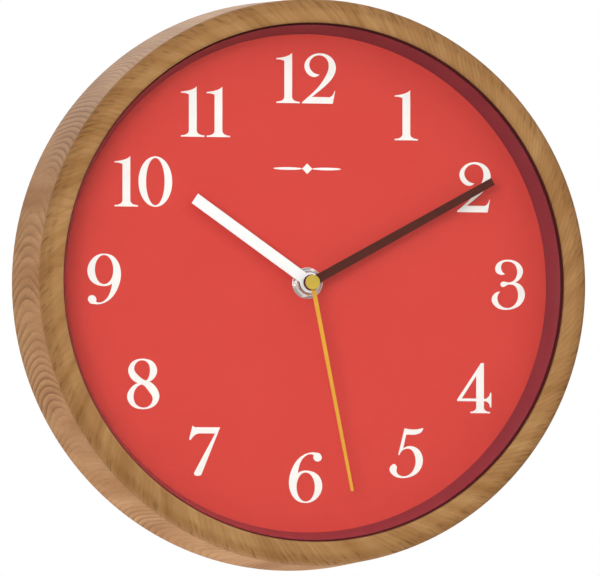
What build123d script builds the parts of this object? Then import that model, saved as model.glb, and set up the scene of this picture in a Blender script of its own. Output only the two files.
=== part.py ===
"""Round battery wall clock: wooden hoop, glass, paper dial, three hands and a quartz movement.

Millimetres.  The wall plane is y = 0, the clock faces -Y and +Z is up.  The origin is on the
hands' axis in the wall plane.  A height is a distance in front of the wall plane, so y = -height.
"""

import os
from math import cos, pi, radians, sin

from build123d import *

# ---------------------------------------------------------------- driving dimensions
# Hoop frame
frame_diameter = 250.0
frame_depth = 46.0
frame_draft = 1.4          # the hoop is narrower at the front by this much in radius
face_width = 10.6          # front face, from the shoulder to the opening
shoulder_round = 3.6
opening_round = 2.0
back_round = 0.8
lip_thickness = 2.2
lens_ledge = 3.3           # how far the lip covers the lens

# Lens, spacer, dial and board
lens_thickness = 1.8
lens_chamfer = 0.25
lens_gap = 0.3             # radial play of the lens, the spacer and the board in the hoop
spacer_height = 10.3
spacer_lean = 3.5          # how far the spacer's wall leans inward on its way down to the dial
spacer_reveal = 0.6        # the spacer's edge shows this much inside the lip
spacer_wall = 1.2
sheet_thickness = 0.3
board_thickness = 3.0

# Numerals
numeral_height = 22.0
ink_thickness = 0.12
ornament_height = 50.0     # above the hands' axis
ornament_span = 26.0
ornament_diamond = 4.6
ornament_leaf = 0.6        # half the height of a leaf beside the diamond

# Glazier's points that hold the board
point_count = 8
point_length = 9.0
point_width = 7.0
point_thickness = 0.6
point_grip = 4.0           # driven into the hoop

# Hands
minute_tip_gap = 14.7      # from the tip to the dial's edge
second_tip_gap = 16.2
hour_tip_gap = 30.8        # the hour hand ends this much short of the minute hand
hour_hand_width = 5.0
minute_hand_root = 4.0
minute_hand_tip = 3.4
second_hand_root = 1.9
second_hand_tip = 1.3
hour_boss_radius = 4.5
minute_boss_radius = 3.5
hand_thickness = 0.6
second_hand_thickness = 0.4
hour_hand_height = 4.2     # underside above the dial
minute_hand_height = 6.3
second_hand_height = 8.0
second_boss_radius = 2.9
cap_radius = 3.2
cap_height = 1.8
cap_round = 0.4
cap_grip = 0.6             # the second hand's arbor reaches this far into the cap
collet_length = 0.8        # under the minute and second hands
hour_collet_gap = 0.2      # above the neck
hour_collet_wall = 0.8
minute_collet_wall = 0.7
second_collet_wall = 0.4
hour_hand_angle = 304.8    # clockwise from twelve
minute_hand_angle = 61.3
second_hand_angle = 168.7

# Threaded neck, washer and nut
neck_radius = 4.0
thread_depth = 0.35
thread_pitch = 0.75
neck_above_dial = 3.4
neck_flange_width = 2.0
neck_flange = 0.8
neck_fit = 0.1             # board, plate, washers and nut on the neck
washer_width = 2.9
washer_thickness = 0.5
nut_wall = 1.7             # from the thread's crest to a flat
nut_height = 2.2
nut_chamfer = 0.4
nut_turn = 12.0            # one corner, anticlockwise from the three o'clock side

# Hanger and rubber washer
rubber_width = 5.0
rubber_thickness = 0.9
hanger_thickness = 0.8
hanger_width = 26.0
hanger_foot = 10.0         # reaches this far below the hands' axis
hanger_bend = 1.6
hanger_lift = 5.0          # the tab's back face above the wall plane
hanger_clearance = 1.4     # between the movement's top and the plate
hanger_tab = 18.0
keyhole_radius = 4.0
keyhole_slot = 3.6
keyhole_rise = 6.0

# Movement case
case_above = 28.0          # above the hands' axis, at least
room_below = 10.6          # wheel room under the hands' axis, down to the battery bay's wall, at least
case_wall = 1.2
case_round = 3.0
cover_thickness = 1.0
plate_height = 6.3         # middle plate above the case's floor
plate_thickness = 0.8
plate_margin = 1.8         # around the posts
plate_round = 1.5
post_radius = 1.5
post_columns = (-19.0, 16.0)
post_rows = (-6.4, 14.5)

# Battery, size AA
battery_diameter = 14.5
battery_length = 50.5
battery_button_radius = 2.75
battery_button = 1.2
battery_round = 0.6
button_round = 0.4
battery_play = 0.25
battery_proud = 0.85       # the cell stands this far out of the open bay
bay_floor = 0.6
contact_room = 1.55        # at each end of the cell
contact_thickness = 0.4
contact_width = 8.0
lead_play = 0.1            # in the slits that the contacts' leads pass
lead_rise = 3.0            # above the circuit board

# Arbors and pipes
running_clearance = 0.05
pivot_radius = 0.35
arbor_radius = 0.6
second_arbor_radius = 0.5
minute_pipe_radius = 1.3
clutch_seat_radius = 1.1
hour_pipe_radius = 2.3
setting_arbor_radius = 0.9
motion_stud_radius = 0.6
wheel_thickness = 0.7
rim_depth = 1.1            # inside the pitch circle
end_play = 0.1             # of an arbor between the case's floor and the middle plate
pivot_depth = 0.6
stud_proud = 1.0           # the motion wheel's stud stands out past the hour wheel
hour_collar_wall = 0.6
clutch_spring_height = 0.4
clutch_spring_thickness = 0.15
clutch_spring_radius = 2.6
clutch_bush_height = 0.4
clutch_bush_radius = 2.0

# Heights of the wheels above each other
layer_gap = 0.4            # between wheels that pass over each other
intermediate_lift = 0.5    # above the case's floor
third_lift = 0.6           # above the second wheel
stator_lift = 0.3          # above the third wheel
motion_lift = 0.6          # above the middle plate
hour_lift = 1.1            # above the motion wheel
pinion_lift = 0.2          # a pinion's start above the floor or plate
pinion_overhang = 0.3      # a pinion stands this far past the wheel that it drives
arbor_gap = 0.18           # between an arbor and the wheel that passes it

# Wheel train: teeth, distances between arbors and tooth forms in modules
rotor_teeth, intermediate_teeth = 6, 36
intermediate_pinion_teeth, second_teeth = 6, 30
second_pinion_teeth, third_teeth = 8, 60
third_pinion_teeth, centre_teeth = 8, 64
minute_pinion_teeth, motion_teeth = 12, 36
motion_pinion_teeth, hour_teeth = 10, 40
setting_pinion_teeth = 12
rotor_distance = 6.3
third_distance = 8.0
motion_distance = 7.5
wheel_addendum, wheel_dedendum, wheel_share = 0.95, 0.95, 0.40
pinion_addendum, pinion_dedendum, pinion_share = 0.55, 1.15, 0.36
tip_rise = 0.35            # a tooth rounds off from this share of its addendum
tip_share = 0.86           # and is this share of its pitch width there
rotor_bearing = 100.0      # directions, anticlockwise from the three o'clock side
intermediate_bearing = 75.0
third_bearing = 150.0
motion_bearing = 30.0
setting_bearing = 60.0

# Motor
magnet_radius = 2.75
magnet_bore = 1.0
magnet_height = 3.4
stator_gap = 0.4
stator_collar = 4.2
stator_bar = 3.4
stator_thickness = 0.7
stator_left = -12.4
stator_right = 14.0
coil_play = 0.2            # between the bobbin and the case
coil_clearance = 0.5       # between the winding and the stator's collar, at least
core_thickness = 0.9
winding_radius = 3.6
bobbin_radius = 4.0
bobbin_core_radius = 2.2
bobbin_cheek = 0.8
bobbin_length = 19.0

# Circuit
board_strip_thickness = 0.8
board_strip_width = 8.0
chip_length, chip_width, chip_height = 5.0, 4.0, 1.2
chip_taper = 12.0
chip_centre = -17.0
crystal_radius, crystal_length, crystal_round = 1.0, 6.0, 0.4
crystal_start = -9.0
crystal_clearance = 0.3    # under the centre wheel, at least
crystal_lift = 0.05        # behind the middle plate, at least

# Setting knob
knob_radius = 4.5
knob_height = 3.4
knob_gap = 0.3
knob_face = 1.0            # solid beyond the arbor's end
knob_flutes = 24
flute_radius = 0.35

# ---------------------------------------------------------------- derived sizes
back_radius = frame_diameter / 2
front_radius = back_radius - frame_draft
opening_radius = front_radius - face_width
bore_radius = opening_radius + lens_ledge
insert_radius = bore_radius - lens_gap

lens_front = frame_depth - lip_thickness
lens_back = lens_front - lens_thickness
dial_front = lens_back - spacer_height
board_front = dial_front - sheet_thickness
board_back = board_front - board_thickness
dial_radius = opening_radius - spacer_reveal - spacer_lean

rubber_back = board_back - rubber_thickness
hanger_back = rubber_back - hanger_thickness
cover_back = hanger_back - cover_thickness
train_depth = plate_height + plate_thickness + motion_lift + hour_lift + 2 * wheel_thickness
battery_depth = battery_diameter + battery_play + bay_floor - battery_proud
case_depth = max(battery_depth, case_wall + train_depth + layer_gap + neck_flange)
case_back = cover_back - case_depth
case_floor = case_back + case_wall
plate_back = case_floor + plate_height
plate_front = plate_back + plate_thickness

minute_hand_length = dial_radius - minute_tip_gap
second_hand_length = dial_radius - second_tip_gap
hour_hand_length = minute_hand_length - hour_tip_gap
hour_hand_back = dial_front + hour_hand_height
minute_hand_back = dial_front + minute_hand_height
second_hand_back = dial_front + second_hand_height

neck_front = dial_front + neck_above_dial
neck_hole_radius = neck_radius + neck_fit
neck_flange_radius = neck_radius + neck_flange_width
washer_radius = neck_radius + washer_width
nut_across_flats = 2 * (neck_radius + nut_wall)
rubber_radius = neck_radius + rubber_width
hour_bore_radius = minute_pipe_radius + running_clearance
minute_bore_radius = second_arbor_radius + running_clearance

# Wheel layers, counted forward from the case's floor
intermediate_layer = case_floor + intermediate_lift
second_layer = intermediate_layer + wheel_thickness + layer_gap
third_layer = second_layer + wheel_thickness + third_lift
stator_layer = third_layer + wheel_thickness + stator_lift
centre_layer = stator_layer + stator_thickness + layer_gap
motion_layer = plate_front + motion_lift
hour_layer = motion_layer + wheel_thickness + hour_lift


def polar(distance, bearing, start=(0.0, 0.0)):
    """A point at a distance and bearing from a start point, on the dial's face view."""
    angle = radians(bearing)
    return (start[0] + distance * cos(angle), start[1] + distance * sin(angle))


def at_height(height):
    """A sketch plane facing the viewer, this far in front of the wall plane."""
    return Plane.XZ.offset(height)


# ---------------------------------------------------------------- gear centres and outlines
def pitch_radius(teeth, partner_teeth, distance):
    """Pitch radius of a gear that shares a centre distance with its partner."""
    return distance * teeth / (teeth + partner_teeth)


def module_of(teeth, partner_teeth, distance):
    """Module of a meshing pair."""
    return 2 * distance / (teeth + partner_teeth)


centre_tip = (pitch_radius(centre_teeth, third_pinion_teeth, third_distance)
              + wheel_addendum * module_of(centre_teeth, third_pinion_teeth, third_distance))
intermediate_distance = centre_tip + arbor_radius + arbor_gap
centre_axis = (0.0, 0.0)
intermediate_axis = polar(intermediate_distance, intermediate_bearing)
rotor_axis = polar(rotor_distance, rotor_bearing, intermediate_axis)
third_axis = polar(third_distance, third_bearing)
motion_axis = polar(motion_distance, motion_bearing)

# The wheel room grows where the train, the coil or the crystal needs it
room_bottom = -max(room_below, centre_tip + crystal_clearance + 2 * crystal_radius + board_strip_thickness)
room_top = max(case_above - case_wall,
               rotor_axis[1] + stator_collar + coil_clearance + winding_radius + bobbin_radius + coil_play)
case_top = room_top + case_wall
room_half_width = battery_length / 2 + contact_room
case_width = 2 * (room_half_width + case_wall)
bay_width = battery_diameter + 2 * battery_play
bay_top = room_bottom - case_wall
bay_bottom = bay_top - bay_width
case_below = case_wall - bay_bottom
battery_z = bay_bottom + bay_width / 2
battery_height = cover_back - bay_floor - battery_play - battery_diameter / 2
crystal_height = min(battery_height, plate_back - crystal_lift - crystal_radius)

coil_x = (stator_left + stator_right) / 2
coil_z = room_top - bobbin_radius - coil_play


def meshed_phase(driver_phase, driver_teeth, bearing, teeth):
    """Bearing of one tooth of a gear that stands in mesh with its driver.

    bearing is the direction from the driver's arbor to this gear's arbor.
    """
    pitch = 360 / driver_teeth
    offset = (bearing - driver_phase) % pitch
    return bearing + 180 + offset * driver_teeth / teeth + 180 / teeth


def gear(teeth, partner_teeth, distance, phase, is_pinion=False):
    """Outline of a clock wheel or pinion: radial flanks and rounded tips, with backlash."""
    pitch_r = pitch_radius(teeth, partner_teeth, distance)
    module = module_of(teeth, partner_teeth, distance)
    addendum, dedendum, width_share = wheel_addendum, wheel_dedendum, wheel_share
    if is_pinion:
        addendum, dedendum, width_share = pinion_addendum, pinion_dedendum, pinion_share
    tip_r = pitch_r + addendum * module
    root_r = pitch_r - dedendum * module
    half = width_share * pi / teeth
    shoulder = pitch_r + tip_rise * addendum * module
    shoulder_half = tip_share * half * pitch_r
    inner = 0.9 * root_r    # buried in the root circle
    with BuildSketch() as tooth:
        with BuildLine():
            left = (inner * cos(half), inner * sin(half))
            left_pitch = (pitch_r * cos(half), pitch_r * sin(half))
            right = (left[0], -left[1])
            right_pitch = (left_pitch[0], -left_pitch[1])
            Line(right, right_pitch)
            ThreePointArc(right_pitch, (shoulder, -shoulder_half), (tip_r, 0))
            ThreePointArc((tip_r, 0), (shoulder, shoulder_half), left_pitch)
            Line(left_pitch, left)
            Line(left, right)
        make_face()
    with BuildSketch() as outline:
        Circle(root_r)
        with PolarLocations(0, teeth, start_angle=phase):
            add(tooth.sketch)
    return outline.sketch


def wheel(teeth, partner_teeth, distance, phase, hub_radius, windows=4):
    """Outline of a wheel with round windows between its hub and its rim."""
    rim_radius = pitch_radius(teeth, partner_teeth, distance) - rim_depth
    with BuildSketch() as pierced:
        add(gear(teeth, partner_teeth, distance, phase))
        with PolarLocations((rim_radius + hub_radius) / 2, windows, start_angle=180 / windows):
            Circle((rim_radius - hub_radius) / 2, mode=Mode.SUBTRACT)
    return pierced.sketch


# ---------------------------------------------------------------- numerals
# Digit outlines are drawn 22 high, from the baseline up and from the left edge.
drawn_height = 22.0
six_width = 15.1


def outline(start, *stretches):
    """A closed shape; a stretch of one point is a straight line, of more points a smooth curve."""
    with BuildSketch() as shape:
        with BuildLine():
            here = start
            for stretch in stretches:
                if len(stretch) == 1:
                    Line(here, stretch[0])
                else:
                    Spline(here, *stretch)
                here = stretch[-1]
        make_face()
    return shape.sketch


def loop(*points):
    """A smooth closed curve through the points, filled."""
    with BuildSketch() as shape:
        with BuildLine():
            Spline(*points, periodic=True)
        make_face()
    return shape.sketch


def six():
    body = outline(
        (3.95, 12.9),
        [(4.9, 16.8), (7.0, 20.1), (9.5, 21.3), (11.3, 20.9)],
        [(11.4, 19.0), (13.1, 18.1), (14.8, 19.3), (14.4, 21.1), (12.6, 21.9)],
        [(9.6, 22.0), (4.7, 19.6), (1.2, 14.4), (0.0, 8.4), (2.0, 2.5), (7.5, 0.0)],
        [(12.9, 2.3), (15.1, 7.2), (13.3, 12.1), (8.7, 14.1), (5.8, 13.9), (3.95, 12.9)],
    )
    with BuildSketch() as shape:
        add(body)
        with Locations((7.6, 6.95)):
            Ellipse(4.15, 6.35, mode=Mode.SUBTRACT)
    return shape.sketch


def zero():
    with BuildSketch() as shape:
        with Locations((7.6, 11.0)):
            Ellipse(7.6, 11.0)
            Ellipse(4.2, 10.3, mode=Mode.SUBTRACT)
    return shape.sketch


def one():
    return outline(
        (0.0, 19.6),
        [(3.2, 20.1), (5.6, 20.9), (7.1, 22.0)],
        [(7.1, 2.9)],
        [(7.5, 1.7), (8.7, 0.9), (10.6, 0.6)],
        [(10.6, 0.0)],
        [(0.0, 0.0)],
        [(0.0, 0.6)],
        [(2.0, 0.9), (3.2, 1.7), (3.6, 2.9)],
        [(3.6, 18.5)],
        [(2.4, 18.9), (0.0, 19.1)],
        [(0.0, 19.6)],
    )


def two():
    return outline(
        (0.0, 0.0),
        [(13.9, 0.0)],
        [(15.0, 5.6)],
        [(14.7, 5.6)],
        [(14.1, 4.1), (13.1, 3.1), (11.6, 2.85)],
        [(4.4, 2.85)],
        [(7.8, 5.5), (11.7, 8.9), (14.4, 12.3), (15.3, 15.9), (13.6, 19.9), (8.8, 22.0),
         (3.6, 20.6), (1.1, 16.8), (2.3, 13.2), (5.3, 11.6), (7.9, 12.7)],
        [(5.6, 13.3), (3.7, 15.2), (3.3, 17.5), (4.9, 20.1), (8.2, 21.1), (11.2, 19.5),
         (12.1, 16.2), (10.6, 11.8), (6.6, 6.4), (0.0, 0.5)],
        [(0.0, 0.0)],
    )


def three():
    return outline(
        (6.1, 15.7),
        [(4.0, 15.4), (2.0, 16.6), (1.7, 18.6), (3.6, 21.1), (7.3, 22.0), (12.0, 20.8),
         (14.3, 17.4), (13.2, 14.0), (10.7, 12.0)],
        [(14.0, 10.2), (15.2, 6.8), (13.0, 2.2), (7.2, 0.0), (2.0, 1.2), (0.0, 4.6),
         (1.3, 7.0), (3.9, 7.9)],
        [(2.8, 6.3), (2.8, 3.8), (4.6, 1.5), (7.4, 0.8), (10.8, 2.6), (12.1, 6.6),
         (11.0, 10.1), (8.3, 11.1)],
        [(6.6, 10.6), (4.9, 10.0), (4.0, 11.1), (4.9, 12.3), (6.6, 12.2), (8.3, 12.1)],
        [(10.7, 13.5), (11.7, 16.8), (10.5, 20.0), (7.3, 21.2), (4.9, 20.4), (4.3, 18.2),
         (4.9, 16.7), (6.1, 15.7)],
    )


def four():
    body = outline(
        (0.0, 5.2),
        [(8.7, 5.2)],
        [(8.7, 2.8)],
        [(8.4, 1.6), (7.5, 0.9), (6.0, 0.6)],
        [(6.0, 0.0)],
        [(15.0, 0.0)],
        [(15.0, 0.6)],
        [(13.4, 0.9), (12.5, 1.6), (12.2, 2.8)],
        [(12.2, 5.2)],
        [(13.6, 5.0), (14.5, 4.2), (14.9, 2.6)],
        [(15.6, 2.6)],
        [(15.6, 9.0)],
        [(15.0, 9.0)],
        [(14.6, 7.6), (13.6, 6.6), (12.2, 6.4)],
        [(12.2, 22.0)],
        [(10.9, 22.0)],
        [(0.0, 5.9)],
        [(0.0, 5.2)],
    )
    with BuildSketch() as shape:
        add(body)
        with BuildLine():
            Polyline((2.1, 6.4), (8.7, 6.4), (8.7, 16.4), close=True)
        make_face(mode=Mode.SUBTRACT)
    return shape.sketch


def five():
    return outline(
        (6.8, 21.8),
        [(10.4, 21.3), (13.2, 21.5), (15.3, 22.0)],
        [(14.6, 20.4), (12.8, 19.3), (10.2, 19.0), (7.6, 19.1)],
        [(6.1, 12.8)],
        [(8.6, 14.0), (12.5, 13.1), (15.1, 8.6), (13.2, 2.9), (6.4, 0.0), (1.7, 1.2),
         (0.0, 4.1), (1.7, 6.1), (3.4, 4.5)],
        [(3.5, 2.1), (5.4, 0.9), (8.8, 1.5), (11.4, 4.8), (11.6, 9.5), (9.6, 12.6),
         (7.0, 12.7), (4.6, 10.1)],
        [(3.9, 10.1)],
        [(6.8, 21.8)],
    )


def seven():
    return outline(
        (1.7, 22.0),
        [(2.2, 21.4), (3.3, 21.2)],
        [(14.1, 21.2)],
        [(5.9, 1.2)],
        [(5.2, 0.2), (3.9, 0.0), (2.7, 0.3), (2.3, 1.2)],
        [(11.9, 18.5)],
        [(5.2, 18.5)],
        [(3.3, 18.1), (2.0, 17.1), (0.8, 15.6)],
        [(0.1, 15.8)],
        [(1.7, 22.0)],
    )


def eight():
    body = outline(
        (5.0, 11.4),
        [(1.6, 9.0), (0.1, 5.4), (2.0, 1.6), (7.2, 0.0), (12.6, 1.7), (14.6, 5.6),
         (13.2, 9.5), (10.1, 12.1)],
        [(12.6, 14.0), (13.6, 17.0), (11.8, 20.6), (7.2, 22.0), (2.5, 20.6), (0.6, 17.0),
         (1.7, 13.7), (5.0, 11.4)],
    )
    with BuildSketch() as shape:
        add(body)
        add(loop((9.2, 12.9), (10.4, 16.9), (9.4, 20.2), (6.9, 21.3), (4.2, 20.1),
                 (3.3, 17.3), (5.2, 14.6)), mode=Mode.SUBTRACT)
        add(loop((6.0, 10.6), (3.8, 8.6), (3.0, 5.2), (4.3, 1.9), (7.4, 0.7),
                 (10.4, 1.8), (11.6, 4.6), (9.6, 8.2)), mode=Mode.SUBTRACT)
    return shape.sketch


def nine():
    """The six turned upside down."""
    return Pos(six_width, drawn_height) * six().rotate(Axis.Z, 180)


# Each digit's outline and width
digit_shapes = {
    0: (zero(), 15.2), 1: (one(), 10.6), 2: (two(), 15.3), 3: (three(), 15.2), 4: (four(), 15.6),
    5: (five(), 15.3), 6: (six(), six_width), 7: (seven(), 14.1), 8: (eight(), 14.6),
    9: (nine(), six_width),
}

# hour: digits, each digit's centre aside of the hour's own, inset from the dial's edge, nudge
hour_marks = {
    12: ([(1, -8.2), (2, 5.8)], 19.3, -0.3),
    1: ([(1, 0.0)], 22.2, 1.3),
    2: ([(2, 0.0)], 21.7, 0.5),
    3: ([(3, 0.0)], 17.3, -0.2),
    4: ([(4, 0.0)], 20.5, 0.7),
    5: ([(5, 0.0)], 22.4, -1.4),
    6: ([(6, 0.0)], 23.9, 0.5),
    7: ([(7, 0.0)], 21.9, 2.3),
    8: ([(8, 0.0)], 22.3, -1.1),
    9: ([(9, 0.0)], 17.2, 0.5),
    10: ([(1, -7.7), (0, 5.4)], 23.0, 0.4),
    11: ([(1, -5.8), (1, 5.8)], 21.5, -1.8),
}


def hour_centre(hour):
    """Centre of an hour's numeral on the dial."""
    digits, inset, nudge = hour_marks[hour]
    return polar(dial_radius - inset, 90 - 30 * hour - nudge)


# ---------------------------------------------------------------- frame, lens, dial
point_bearing = 180 / point_count
point_middle = bore_radius + point_grip - point_length / 2


def point_strips():
    """The glazier's points, and the slits that they cut into the hoop."""
    with BuildSketch() as strips:
        with PolarLocations(point_middle, point_count, start_angle=point_bearing):
            Rectangle(point_length, point_width)
    return strips.sketch


with BuildPart() as frame_ring:
    with BuildSketch(Plane.XY) as hoop_section:
        with BuildLine():
            Polyline(
                (bore_radius, 0),
                (back_radius, 0),
                (front_radius, -(frame_depth - shoulder_round)),
                (front_radius, -frame_depth),
                (opening_radius, -frame_depth),
                (opening_radius, -lens_front),
                (bore_radius, -lens_front),
                close=True,
            )
        make_face()
        corners = hoop_section.vertices()
        fillet(corners.sort_by_distance((front_radius, -frame_depth))[0], shoulder_round)
        fillet(corners.sort_by_distance((opening_radius, -frame_depth))[0], opening_round)
        fillet(corners.sort_by_distance((back_radius, 0))[0], back_round)
    revolve(axis=Axis.Y)
    with BuildSketch(at_height(board_back - point_thickness)):
        add(point_strips())
    extrude(amount=point_thickness, mode=Mode.SUBTRACT)
frame_ring.part.label = "frame_ring"

with BuildPart() as lens:
    with BuildSketch(at_height(lens_back)):
        Circle(insert_radius)
    extrude(amount=lens_thickness)
    chamfer(lens.edges().filter_by(GeomType.CIRCLE), lens_chamfer)
lens.part.label = "lens"

with BuildPart() as spacer_ring:
    top_radius = opening_radius - spacer_reveal
    with BuildSketch(Plane.XY):
        with BuildLine():
            Polyline(
                (dial_radius, -dial_front),
                (insert_radius, -dial_front),
                (insert_radius, -(dial_front + spacer_wall)),
                (dial_radius + 1.5 * spacer_wall, -(dial_front + spacer_wall)),
                (top_radius + spacer_wall, -(lens_back - spacer_wall)),
                (insert_radius, -(lens_back - spacer_wall)),
                (insert_radius, -lens_back),
                (top_radius, -lens_back),
                close=True,
            )
        make_face()
    revolve(axis=Axis.Y)
spacer_ring.part.label = "spacer_ring"

with BuildPart() as dial_sheet:
    with BuildSketch(at_height(board_front)):
        Circle(insert_radius)
        Circle(neck_hole_radius, mode=Mode.SUBTRACT)
    extrude(amount=sheet_thickness)
dial_sheet.part.label = "dial_sheet"

with BuildPart() as dial_numerals:
    scale_up = numeral_height / drawn_height
    with BuildSketch(at_height(dial_front)):
        for hour, marks in hour_marks.items():
            x, z = hour_centre(hour)
            for digit, aside in marks[0]:
                shape, width = digit_shapes[digit]
                with Locations((x + (aside - width / 2) * scale_up, z - numeral_height / 2)):
                    add(scale(shape, by=scale_up, mode=Mode.PRIVATE))
        with Locations((0, ornament_height)):
            with GridLocations(ornament_span / 2 + ornament_diamond, 0, 2, 1):
                Ellipse(ornament_span / 4, ornament_leaf)
            RegularPolygon(ornament_diamond / 2, 4, rotation=0)
    extrude(amount=ink_thickness)
dial_numerals.part.label = "dial_numerals"

with BuildPart() as dial_board:
    with BuildSketch(at_height(board_back)):
        Circle(insert_radius)
        Circle(neck_hole_radius, mode=Mode.SUBTRACT)
    extrude(amount=board_thickness)
dial_board.part.label = "dial_board"

with BuildPart() as retaining_points:
    with BuildSketch(at_height(board_back - point_thickness)):
        add(point_strips())
    extrude(amount=point_thickness)
retaining_points.part.label = "retaining_points"

# ---------------------------------------------------------------- hanger and neck
tab_foot = case_top + hanger_clearance
tab_centre = tab_foot + hanger_thickness + hanger_tab / 2 - keyhole_rise / 2

with BuildPart() as hanger_plate:
    # Side section: flat against the board, back over the movement's top, then up as a tab.
    with BuildSketch(Plane.YZ) as plate_section:
        with BuildLine():
            Polyline(
                (-rubber_back, -hanger_foot),
                (-rubber_back, tab_foot + hanger_thickness),
                (-hanger_lift - hanger_thickness, tab_foot + hanger_thickness),
                (-hanger_lift - hanger_thickness, tab_foot + hanger_thickness + hanger_tab),
                (-hanger_lift, tab_foot + hanger_thickness + hanger_tab),
                (-hanger_lift, tab_foot),
                (-hanger_back, tab_foot),
                (-hanger_back, -hanger_foot),
                close=True,
            )
        make_face()
        bends = plate_section.vertices()
        inner_bends = [
            (-hanger_back, tab_foot),
            (-hanger_lift - hanger_thickness, tab_foot + hanger_thickness),
        ]
        outer_bends = [
            (-rubber_back, tab_foot + hanger_thickness),
            (-hanger_lift, tab_foot),
        ]
        for corner in inner_bends:
            fillet(bends.sort_by_distance(corner)[0], hanger_bend - hanger_thickness)
        for corner in outer_bends:
            fillet(bends.sort_by_distance(corner)[0], hanger_bend)
    extrude(amount=hanger_width / 2, both=True)
    with BuildSketch(at_height(hanger_back)):
        Circle(neck_hole_radius)
    extrude(amount=hanger_thickness, mode=Mode.SUBTRACT)
    with BuildSketch(at_height(hanger_lift)):
        with Locations((0, tab_centre)):
            Circle(keyhole_radius)
        with Locations((0, tab_centre + keyhole_rise)):
            Circle(keyhole_slot / 2)
        with Locations((0, tab_centre + keyhole_rise / 2)):
            Rectangle(keyhole_slot, keyhole_rise)
    extrude(amount=hanger_thickness, mode=Mode.SUBTRACT)
    tab_corners = hanger_plate.edges().filter_by(Axis.Y).group_by(Axis.Z)[-1]
    fillet(tab_corners, keyhole_radius)
hanger_plate.part.label = "hanger_plate"

with BuildPart() as rubber_washer:
    with BuildSketch(at_height(rubber_back)):
        Circle(rubber_radius)
        Circle(neck_hole_radius, mode=Mode.SUBTRACT)
    extrude(amount=rubber_thickness)
rubber_washer.part.label = "rubber_washer"

with BuildPart() as threaded_bushing:
    thread_start = rubber_back
    turns = int((neck_front - thread_start) / thread_pitch)
    crests = [(neck_radius, -(thread_start + i * thread_pitch)) for i in range(turns + 1)]
    roots = [(r - thread_depth, y - thread_pitch / 2) for r, y in crests[:-1]]
    thread = [crests[0]]
    for root, crest in zip(roots, crests[1:]):
        thread += [root, crest]
    inner_radius = hour_pipe_radius + running_clearance
    with BuildSketch(Plane.XY):
        with BuildLine():
            Polyline(
                (inner_radius, -(cover_back - neck_flange)),
                (neck_flange_radius, -(cover_back - neck_flange)),
                (neck_flange_radius, -cover_back),
                (neck_radius, -cover_back),
                *thread,
                (neck_radius - thread_depth, -neck_front),
                (inner_radius, -neck_front),
                close=True,
            )
        make_face()
    revolve(axis=Axis.Y)
threaded_bushing.part.label = "threaded_bushing"

with BuildPart() as dial_washer:
    with BuildSketch(at_height(dial_front)):
        Circle(washer_radius)
        Circle(neck_hole_radius, mode=Mode.SUBTRACT)
    extrude(amount=washer_thickness)
    front_edges = dial_washer.edges().filter_by(GeomType.CIRCLE).group_by(Axis.Y)[0]
    fillet(front_edges.sort_by(SortBy.RADIUS)[-1], washer_thickness / 2)
dial_washer.part.label = "dial_washer"

with BuildPart() as mounting_nut:
    nut_back = dial_front + washer_thickness
    corner_radius = nut_across_flats / 2 / cos(pi / 6)
    with BuildSketch(at_height(nut_back)):
        RegularPolygon(corner_radius, 6, rotation=nut_turn)
        Circle(neck_hole_radius, mode=Mode.SUBTRACT)
    extrude(amount=nut_height)
    # Turned corners: the hexagon is cut to a cone at its outer face.
    with BuildSketch(Plane.XY):
        with BuildLine():
            Polyline(
                (neck_hole_radius, -nut_back),
                (corner_radius, -nut_back),
                (corner_radius, -(nut_back + 0.6 * nut_height)),
                (nut_across_flats / 2 - nut_chamfer, -(nut_back + nut_height)),
                (neck_hole_radius + nut_chamfer, -(nut_back + nut_height)),
                (neck_hole_radius, -(nut_back + nut_height - nut_chamfer)),
                close=True,
            )
        make_face()
    revolve(axis=Axis.Y, mode=Mode.INTERSECT)
mounting_nut.part.label = "mounting_nut"

# ---------------------------------------------------------------- hands
def hand_outline(boss_radius, root_width, tip_width, length, clock_angle):
    """A tapered flat hand with a round boss, pointing at a clock angle."""
    with BuildSketch() as flat:
        Circle(boss_radius)
        with BuildLine():
            Polyline(
                (-root_width / 2, 0),
                (-tip_width / 2, length),
                (tip_width / 2, length),
                (root_width / 2, 0),
                close=True,
            )
        make_face()
    return flat.sketch.rotate(Axis.Z, -clock_angle)


with BuildPart() as hour_hand:
    with BuildSketch(at_height(hour_hand_back)):
        add(hand_outline(hour_boss_radius, hour_hand_width, hour_hand_width,
                         hour_hand_length, hour_hand_angle))
        Circle(hour_pipe_radius, mode=Mode.SUBTRACT)
    extrude(amount=hand_thickness)
    hour_collet_back = neck_front + hour_collet_gap
    with BuildSketch(at_height(hour_collet_back)):
        Circle(hour_pipe_radius + hour_collet_wall)
        Circle(hour_pipe_radius, mode=Mode.SUBTRACT)
    extrude(amount=hour_hand_back - hour_collet_back)
hour_hand.part.label = "hour_hand"

with BuildPart() as minute_hand:
    with BuildSketch(at_height(minute_hand_back)):
        add(hand_outline(minute_boss_radius, minute_hand_root, minute_hand_tip,
                         minute_hand_length, minute_hand_angle))
        Circle(minute_pipe_radius, mode=Mode.SUBTRACT)
    extrude(amount=hand_thickness)
    with BuildSketch(at_height(minute_hand_back - collet_length)):
        Circle(minute_pipe_radius + minute_collet_wall)
        Circle(minute_pipe_radius, mode=Mode.SUBTRACT)
    extrude(amount=collet_length)
minute_hand.part.label = "minute_hand"

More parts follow.
